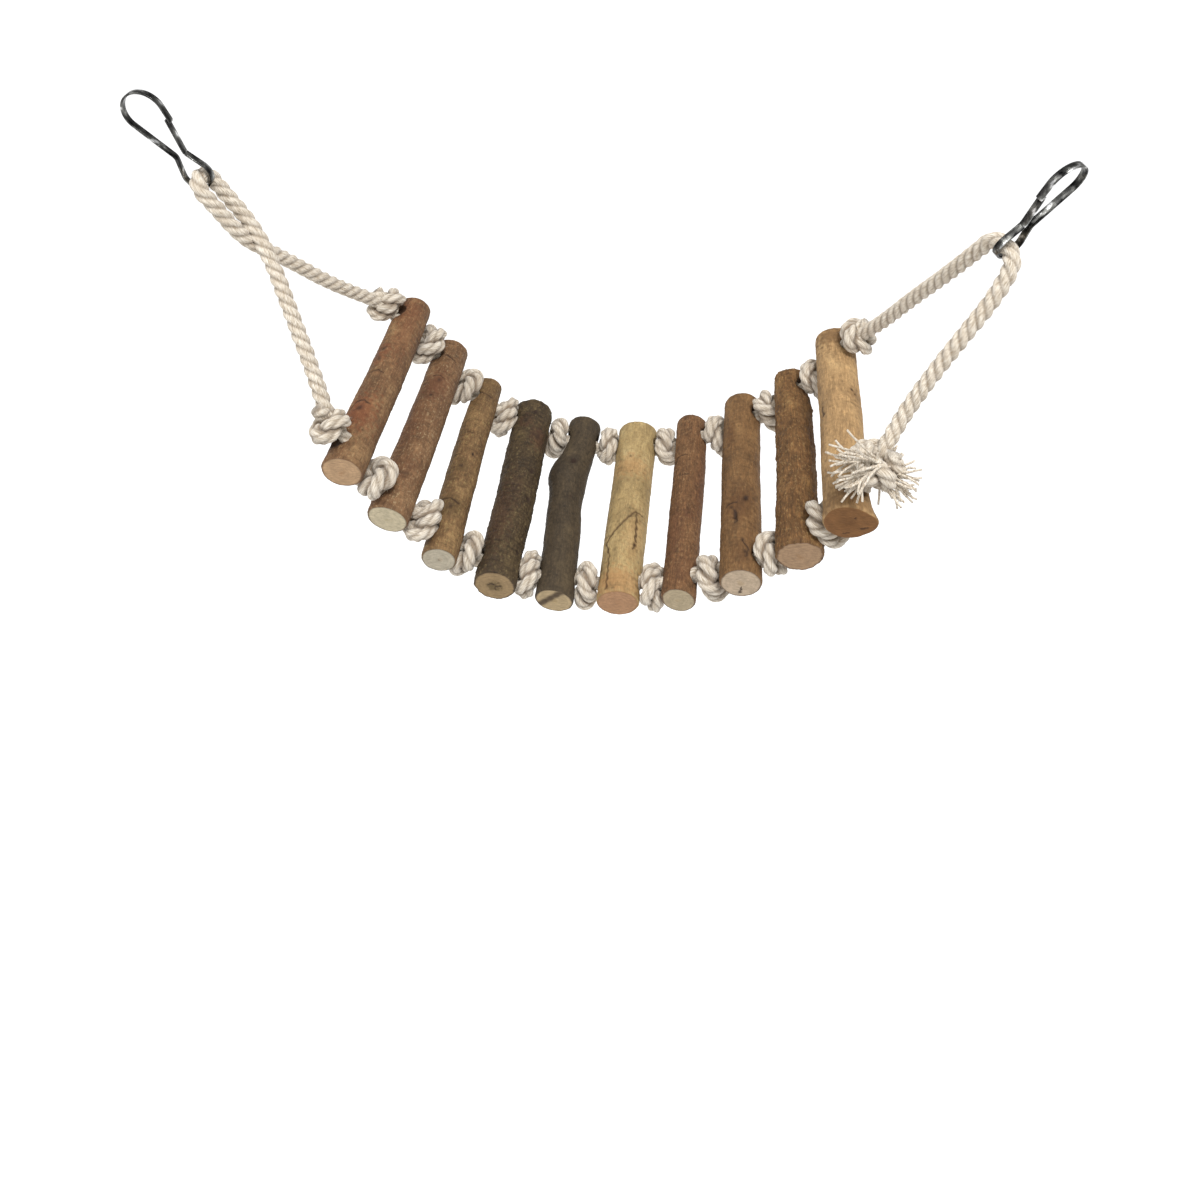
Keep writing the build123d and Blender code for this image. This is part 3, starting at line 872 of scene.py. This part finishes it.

# Each rung's bark, left to right. Colours are 0 to 255. wave, lumps, wrinkles and scales are heights
# of the bark's relief, from broad to fine. A mark is (kind, share along from the near end, degrees
# round from the top towards the right, size, height); a crack or stain is a list of (share, degrees)
# with a width; a face line is a list of places on the near end with the middle 0 and the bark 1.
# The bark's marks and the painted shade round the rope's holes share one dark colour.
BASE_LOOK = dict(mark_and_hole_shade=(46, 30, 20), rings=0.35, streaks=0.5, specks=0.55, heart=(160, 126, 92),
                 rim=(88, 60, 40), ring_count=5, ring_depth=0.42, heart_size=0.22, wave=0.12, lumps=0.12,
                 wrinkles=0.06, scales=0.06, cracks=[], face_lines=[], bumps=[])
LOOKS = [
    dict(bark=(116, 84, 56), speck=(166, 139, 100), pale=(150, 118, 82), face=(180, 148, 114),
        tint=(124, 65, 37), wrinkles=0.08,
        marks=[("knot", 0.63, -20, 2.7, 0.9), ("knot", 0.57, -22, 2.2, 0.3), ("knot", 0.27, -6, 3.2, 0.3)],
        cracks=[([(0.26, -48), (0.31, -25), (0.315, -5), (0.3, 12)], 0.5),
            ([(0.49, -40), (0.5, -10), (0.485, 10)], 0.35), ([(0.12, -20), (0.115, 10)], 0.3)],
        tints=[(0.25, -5, 10, 7, 0.65), (0.75, 25, 16, 5, 0.3), (0.9, 0, 9, 9, 0.35)]),
    dict(bark=(118, 86, 58), speck=(183, 161, 123), pale=(147, 114, 81), face=(194, 181, 152),
        heart=(176, 162, 130), rim=(80, 56, 38), tint=(100, 57, 37), wrinkles=0.1, ring_count=3,
        marks=[("knot", 0.72, 12, 2.6, 0.35), ("knot", 0.62, 4, 2.0, 0.25)],
        cracks=[([(0.885, 6), (0.865, 45)], 0.5), ([(0.745, -10), (0.75, 12), (0.735, 30)], 0.35)],
        tints=[(0.7, 8, 9, 6, 0.7), (0.45, -30, 18, 6, 0.4), (0.2, 10, 9, 6, 0.3)]),
    dict(bark=(119, 90, 58), pale=(153, 122, 82), speck=(166, 144, 95), face=(178, 168, 148),
        heart=(168, 154, 132), rim=(84, 66, 42), tint=(97, 78, 46), wrinkles=0.1, specks=0.65,
        marks=[("knot", 0.215, 5, 3.0, 1.2), ("knot", 0.44, 4, 2.2, 0.3), ("pit", 0.52, 32, 0.8, 0.3)],
        cracks=[([(0.25, -50), (0.258, 0), (0.24, 28)], 0.5), ([(0.64, -14), (0.64, 8)], 0.35),
            ([(0.505, -38), (0.51, -15)], 0.3), ([(0.9, -35), (0.885, 42)], 0.4)],
        tints=[(0.23, 5, 6, 6, 0.5), (0.5, -60, 40, 4, 0.5), (0.95, 0, 6, 12, 0.3)],
        face_lines=[([(0, 0), (0.03, 0.02)], 0.06)]),
    dict(bark=(71, 56, 37), pale=(99, 82, 55), speck=(124, 108, 73), face=(150, 126, 92),
        heart=(84, 70, 42), rim=(52, 38, 28), heart_size=0.5, rings=0.6, specks=0.7, streaks=0.35,
        wrinkles=0.3, scales=0.14, lumps=0.2, wave=0.2, tint=(81, 50, 34),
        marks=[("pit", 0.57, 42, 1.0, 0.6), ("pit", 0.42, 50, 1.1, 0.6), ("pit", 0.92, 14, 0.9, 0.3),
            ("knot", 0.78, 36, 3.2, 0.5), ("knot", 0.86, -10, 3.0, 0.4), ("pit", 0.14, 58, 1.0, 0.5)],
        tints=[(0.77, 44, 7, 4, 0.7), (0.3, -30, 20, 7, 0.45), (0.45, 0, 9, 5, 0.2)],
        face_lines=[([(-0.3, 0.06), (0.04, 0.1), (0.26, -0.08)], 0.05),
            ([(0.0, -0.28), (0.1, 0.16)], 0.04)]),
    dict(bark=(71, 59, 43), pale=(92, 78, 57), speck=(108, 92, 68), face=(178, 156, 120),
        heart=(160, 138, 100), rim=(48, 38, 30), rings=0.2, specks=0.35, streaks=0.4, wave=0.15,
        lumps=0.1, tint=(39, 30, 22),
        marks=[("pit", 0.7, 10, 1.4, 1.0), ("knot", 0.67, -62, 6.0, 0.7), ("knot", 0.5, 20, 2.2, 0.15)],
        tints=[(0.71, 10, 5, 4, 0.5), (0.5, -80, 40, 2.5, 0.4)],
        face_lines=[([(-0.85, -0.55), (0.45, 0.9)], 0.2)],
        bumps=[(0.66, 0.075, -1.2, 0.9), (0.86, 0.08, 0.8, -0.8), (0.5, 0.08, -0.5, -0.3)]),
    dict(bark=(170, 145, 99), pale=(194, 171, 123), speck=(137, 109, 67), face=(172, 132, 98),
        heart=(164, 124, 90), rim=(150, 112, 72), rings=0.14, specks=0.4, streaks=0.3, lumps=0.08,
        mark_and_hole_shade=(62, 40, 22), tint=(173, 122, 76),
        marks=[("pit", 0.25, 31, 0.9, 0.2), ("knot", 0.76, -12, 1.8, 0.15)],
        cracks=[([(0.425, 50), (0.43, 22), (0.35, -15), (0.265, -60), (0.195, -40), (0.02, -35)], 0.5),
            ([(0.42, 27), (0.34, 31), (0.268, 33)], 0.55), ([(0.247, 33), (0.228, 27)], 0.5)],
        tints=[(0.7, -10, 6, 12, 0.45), (0.3, 30, 16, 5, 0.25), (0.05, 0, 7, 16, 0.6)]),
    dict(bark=(111, 78, 49), pale=(131, 97, 65), speck=(155, 122, 85), face=(172, 156, 128),
        heart=(158, 140, 110), rim=(76, 50, 34), specks=0.65, streaks=0.7, rings=0.25, tint=(90, 53, 37),
        scales=0.08,
        marks=[("knot", 0.4, 10, 1.8, 0.2), ("pit", 0.72, -62, 1.0, 0.4)],
        cracks=[([(0.74, -60), (0.745, -10)], 0.35), ([(0.62, -30), (0.625, 0)], 0.3)],
        tints=[(0.3, -50, 16, 5, 0.5), (0.6, 50, 25, 4, 0.4), (0.1, 10, 8, 8, 0.3)]),
    dict(bark=(119, 87, 53), pale=(143, 109, 70), speck=(154, 123, 83), face=(184, 164, 140),
        heart=(170, 148, 120), rim=(78, 54, 36), tint=(83, 51, 26), specks=0.4, streaks=0.45,
        marks=[("knot", 0.355, 6, 3.0, 0.5), ("pit", 0.365, 8, 1.1, 0.4), ("knot", 0.315, -32, 2.2, 0.3),
            ("pit", 0.268, -22, 1.0, 0.6), ("knot", 0.09, 6, 2.6, 0.3)],
        cracks=[([(0.3, -24), (0.24, -19)], 0.7), ([(0.335, -50), (0.34, -18)], 0.4),
            ([(0.15, -2), (0.1, 14), (0.07, 8)], 0.5)],
        tints=[(0.33, -8, 9, 7, 0.65), (0.75, -40, 9, 2, 0.6), (0.1, 8, 8, 6, 0.45)],
        face_lines=[([(0.02, -0.35), (0.0, -0.7)], 0.04)]),
    dict(bark=(109, 77, 44), pale=(139, 106, 66), speck=(175, 145, 96), face=(164, 134, 104),
        heart=(152, 120, 88), rim=(84, 58, 38), specks=0.45, streaks=0.8, scales=0.2,
        lumps=0.3, wave=0.35, wrinkles=0.12, tint=(71, 49, 28),
        marks=[("knot", 0.8, 62, 4.2, 1.2), ("knot", 0.1, 72, 5.0, 1.6)],
        tints=[(0.7, 40, 20, 5, 0.5)],
        bumps=[(0.95, 0.12, -0.5, -0.7), (0.0, 0.07, 0.4, 0.6)]),
    dict(bark=(172, 138, 95), pale=(191, 158, 112), speck=(138, 101, 64), face=(124, 86, 50),
        heart=(104, 70, 38), rim=(132, 94, 58), rings=0.12, specks=0.35, streaks=0.45, wave=0.2,
        lumps=0.1, lip=2.2, ring_count=2, ring_depth=0.14, heart_size=0.45, tint=(110, 80, 48),
        marks=[("pit", 0.62, 26, 0.7, 0.3), ("pit", 0.6, 34, 0.5, 0.3), ("pit", 0.09, 30, 0.7, 0.3),
            ("knot", 0.97, 20, 4.0, 0.6)],
        cracks=[([(0.09, -30), (0.085, 10), (0.1, 48)], 0.5), ([(0.55, -72), (0.5, -66)], 0.6)],
        tints=[(0.95, 0, 6, 14, 0.9), (0.04, 0, 6, 16, 0.75), (0.6, 30, 3, 2.5, 0.5)],
        face_lines=[([(0.55, -0.3), (0.75, -0.2)], 0.06), ([(-0.1, -0.72), (0.02, -0.7)], 0.04),
            ([(0.2, 0.3), (0.22, 0.34)], 0.04)]),
]


def rung_sections(node):
    """y, middle x, middle z and radius at each straight section of a CAD rung."""
    points = np.array([vertex.co for vertex in node.data.vertices]) / MM
    heights = np.round(points[:, 1], 1)
    found = []
    for y in np.unique(heights):
        ring = points[heights == y]
        if len(ring) > RING_POINTS:
            low, high = ring.min(axis=0), ring.max(axis=0)
            found.append((y, (low[0] + high[0]) / 2, (low[2] + high[2]) / 2, (high[2] - low[2]) / 2))
    return np.array(found)


def unrolled(share, turn, length, around):
    """Where a share along a rung and degrees round it lie on its unrolled bark, its middle at 0, 0."""
    return radians(turn) * around / (2 * pi), (share - 0.5) * length


def to_line(u, v, line, around):
    """How far unrolled places (u, v) are from a line of (u, v) points, wrapping round at around."""
    best = np.full(u.shape, 1e9)
    for (u0, v0), (u1, v1) in zip(line, line[1:]):
        du, dv = wrapped(u - u0, around), v - v0
        run_u, run_v = u1 - u0, v1 - v0
        share = np.clip((du * run_u + dv * run_v) / max(run_u ** 2 + run_v ** 2, 1e-9), 0, 1)
        best = np.minimum(best, np.hypot(du - share * run_u, dv - share * run_v))
    return best


def bark_relief(look, seed, y, angle, radius):
    """Height of the bark and its fine part, at grids of y and angle."""
    height, fine = np.zeros(y.shape), np.zeros(y.shape)
    shift = Vector((seed * 13.7, seed * 5.1, seed * 9.3))
    for index in np.ndindex(y.shape):
        c, s, v = radius * cos(angle[index]), radius * sin(angle[index]), y[index]
        broad = noise.noise(Vector((c * 0.07, v * 0.05, s * 0.07)) + shift)
        lump = noise.noise(Vector((c * 0.32, v * 0.2, s * 0.32)) + shift)
        wrinkle = 1 - 2 * abs(noise.noise(Vector((c * 0.13, v * 0.85, s * 0.13)) + shift))
        scale = noise.noise(Vector((c * 0.95, v * 0.6, s * 0.95)) + shift)
        small = look["wrinkles"] * (wrinkle - 0.6) + look["scales"] * scale * 2
        height[index] = look["wave"] * broad * 1.6 + look["lumps"] * lump * 1.6 + small
        fine[index] = small + look["lumps"] * lump * 0.6
    return height, fine


def mark_relief(look, u, v, length, around):
    """Height, darkness and tint that a rung's marks, cracks and stains add, at unrolled places."""
    height, dark, tint = np.zeros(u.shape), np.zeros(u.shape), np.zeros(u.shape)
    ragged = np.sin(u * 1.9 + np.sin(v * 1.3) * 1.5) * 0.12 + np.sin(v * 2.3 + u * 0.7) * 0.1
    for kind, share, turn, size, rise in look["marks"]:
        u0, v0 = unrolled(share, turn, length, around)
        q = np.hypot(wrapped(u - u0, around), (v - v0) * 0.8) / size * (1 + ragged)
        if kind == "knot":
            swell = np.exp(-q ** 2)
            height += rise * swell * (1 - 0.9 * np.exp(-(q * 3) ** 2)) + 0.1 * rise * np.sin(q * 11) * swell
            dark = np.maximum(dark, 0.75 * np.exp(-(q * 2.8) ** 2))
            tint = np.maximum(tint, 0.5 * np.exp(-(q - 0.8) ** 2 * 6))
        else:
            height -= rise * np.exp(-q ** 4)
            dark = np.maximum(dark, 0.95 * np.exp(-q ** 4))
    for line, width in look["cracks"]:
        line = [unrolled(share, turn, length, around) for share, turn in line]
        wobble = 0.35 * np.sin(v * 1.7 + u) + 0.2 * np.sin(u * 3.1)
        near = to_line(u + wobble * 0.7, v + wobble * 0.5, line, around)
        groove = np.exp(-(near / width) ** 2)
        height -= 0.35 * groove
        dark = np.maximum(dark, 0.9 * groove)
    for share, turn, along, across, strength in look["tints"]:
        u0, v0 = unrolled(share, turn, length, around)
        q = np.hypot(wrapped(u - u0, around) / across, (v - v0) / along) * (1 + 2.2 * ragged)
        tint = np.maximum(tint, strength * np.clip(1.6 - 1.3 * q, 0, 1))
    return height, dark, tint


def hole_relief(y, angle, slope, radius):
    """The mouths of the rope's holes: how deep, and how much painted shade darkens the bark round them."""
    depth, dark = np.zeros(y.shape), np.zeros(y.shape)
    for row in (-ROW_Y, ROW_Y):
        for way in (slope, slope + pi):
            q = np.hypot(wrapped(angle - way) * radius, y - row)
            depth += HOLE_DEPTH * np.clip((HOLE_R + 0.3 - q) / 0.6, 0, 1)
            # painted shade round each hole's mouth, where the rope goes into the rung
            dark = np.maximum(dark, 0.7 * np.clip((HOLE_R + 0.8 - q) / 0.9, 0, 1))
    return depth, dark


def rung_middle(number, look):
    """The places along a rung, and its middle x, middle z and radius at each, from the CAD rung."""
    sections = rung_sections(frame["nodes"][f"rung_{number}"])
    y_low, y_high = sections[0, 0], sections[-1, 0]
    inner = sections[1:-1].copy()
    inner[0, 0], inner[-1, 0] = y_low, y_high
    if "lip" in look:
        inner[0, 1:] = inner[1, 1:]
    ys = np.linspace(y_low, y_high, int((y_high - y_low) / RUNG_STEP) + 1)
    middle = np.stack([np.interp(ys, inner[:, 0], inner[:, k]) for k in (1, 2, 3)], axis=1)
    middle = smoothed(middle, CAD_SMOOTHING)
    share = (ys - y_low) / (y_high - y_low)
    for place, width, shift, swell in look["bumps"]:
        near = np.exp(-((share - place) / width) ** 2)
        middle[:, 0] += shift * near
        middle[:, 2] += swell * near
    return ys, middle


def rung_bark(number, look, ys, middle):
    """The bark's points, ring by ring along the rung, its attributes, and the rung's mean radius."""
    mean_r = float(middle[:, 2].mean())
    y, angle = np.meshgrid(ys, np.linspace(0, 2 * pi, AROUND_RUNG, endpoint=False), indexing="ij")
    height, fine = bark_relief(look, number, y, angle, mean_r)
    rise, dark, tint = mark_relief(look, wrapped(pi / 2 - angle) * mean_r, y, ys[-1] - ys[0], 2 * pi * mean_r)
    depth, hole_shade = hole_relief(y, angle, SLOPES[number - 1], mean_r)
    from_end = np.minimum(y - ys[0], ys[-1] - y)
    rounding = np.clip(EDGE_ROUND - from_end, 0, None)
    radius = middle[:, 2][:, None] + height + rise - depth - rounding ** 2 / EDGE_ROUND * 0.6
    if "lip" in look:
        to_lip = np.clip(np.cos(angle - radians(LIP_TURN)), 0, 1) ** 6
        radius += look["lip"] * to_lip * np.exp(-((y - ys[0]) / 4.5) ** 1.4)
        radius += 0.5 * np.exp(-((y - ys[0]) / 6) ** 2)
    tilt = END_TILT * np.sin(number * 2.4), END_TILT * np.cos(number * 1.7)
    lean = (tilt[0] * np.cos(angle) + tilt[1] * np.sin(angle)) * np.exp(-from_end / 1.5)
    points = np.stack([middle[:, 0][:, None] + radius * np.cos(angle), y + lean,
                       middle[:, 1][:, None] + radius * np.sin(angle)], axis=-1)
    grain = np.stack([mean_r * np.cos(angle), y, mean_r * np.sin(angle)], axis=-1)
    deepest = look["wrinkles"] + look["scales"] * 2 + look["lumps"]
    # painted shade: how much the bark darkens in the hollows of its fine relief
    hollow_shade = np.clip(-fine / deepest * 1.6, 0, 1)
    # the marks' darkness on the bark also carries the painted shade round the rope's holes
    marks = {"grain": [grain.reshape(-1, 3)], "hollow_shade": [hollow_shade.ravel()], "edge": [np.ones(hollow_shade.size)],
             "mark_and_hole_shade": [np.maximum(dark, hole_shade).ravel()], "tint": [tint.ravel()]}
    return points.reshape(-1, 3), marks, mean_r


def make_rung(number, look):
    bark, marks, mean_r = rung_bark(number, look, *rung_middle(number, look))
    points, count, faces = [bark], len(bark), []
    for a in range(0, count - AROUND_RUNG, AROUND_RUNG):
        for j in range(AROUND_RUNG):
            b, k = a + AROUND_RUNG, (j + 1) % AROUND_RUNG
            faces.append((a + j, b + j, b + k, a + k))
    kinds = [0] * len(faces)
    for far in (False, True):
        rim_start = len(bark) - AROUND_RUNG if far else 0
        rim = bark[rim_start:rim_start + AROUND_RUNG]
        centre = rim.mean(axis=0)
        previous = list(range(rim_start, rim_start + AROUND_RUNG))
        for ring in range(1, CAP_RINGS + 1):
            share = 1 - ring / CAP_RINGS
            placed = centre + (rim - centre) * share if share else centre[None, :]
            local = (placed - centre) * (1, 0, 1)
            points.append(placed)
            marks["grain"].append(local + (number * 31.0, 0, far * 17.0))
            for title in ("hollow_shade", "tint"):
                marks[title].append(np.zeros(len(placed)))
            marks["edge"].append(np.full(len(placed), share))
            marks["mark_and_hole_shade"].append(face_marks(look, local / mean_r, far))
            current = list(range(count, count + len(placed)))
            count += len(placed)
            for j in range(AROUND_RUNG):
                k = (j + 1) % AROUND_RUNG
                inner_two = [current[k], current[j]] if share else [current[0]]
                face = [previous[j], previous[k]] + inner_two
                faces.append(tuple(reversed(face)) if far else tuple(face))
            kinds += [1] * AROUND_RUNG
            previous = current
    attributes = {title: np.concatenate(values) for title, values in marks.items()}
    materials = [bark_material(f"bark_{number}", look), end_material(f"cut_end_{number}", look)]
    piece = new_piece(f"branch_{number}", np.concatenate(points), faces, materials,
                      kinds, attributes)
    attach(piece, f"rung_{number}")
    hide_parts(f"rung_{number}")


def face_marks(look, local, far):
    """How dark the checks and stains are on a cut end, at places with the bark at 1."""
    dark = np.zeros(len(local))
    x, z = local[:, 0] * (-1 if far else 1), local[:, 2]
    ragged = 0.05 * np.sin(x * 13 + z * 5) + 0.03 * np.sin(z * 29 - x * 11)
    for line, width in look["face_lines"]:
        near = to_line(x + ragged, z + ragged, line, 1e6) + ragged * 0.4
        dark = np.maximum(dark, 0.85 * np.exp(-(near / width) ** 4))
    return dark


# ---- build

def main():
    make_camera()
    make_stage()
    cotton = cotton_material()
    overhands = [tightened(loose_overhand(), KNOT_TOUCH, KNOT_HALF, KNOT_STEPS)]
    overhands.append(overhands[0] * (1, 1, -1))
    make_gap_knots(cotton, overhands)
    wide = tightened(loose_overhand(), WIDE_TOUCH, WIDE_HALF, KNOT_STEPS)
    small = tightened(loose_overhand(), SMALL_TOUCH, KNOT_HALF, KNOT_STEPS)
    make_outer_knots(cotton, small, wide)
    make_tufts(cotton)
    make_bridle("left", LEFT_ROUTE, cotton, LEFT_SEED)
    make_bridle("right", RIGHT_ROUTE, cotton, RIGHT_SEED)
    steel = steel_material()
    for hand in ("left", "right"):
        make_hook(hand, steel)
    for number, look in enumerate(LOOKS, 1):
        make_rung(number, {**BASE_LOOK, **look})
        make_inner_rope(number, cotton)


main()
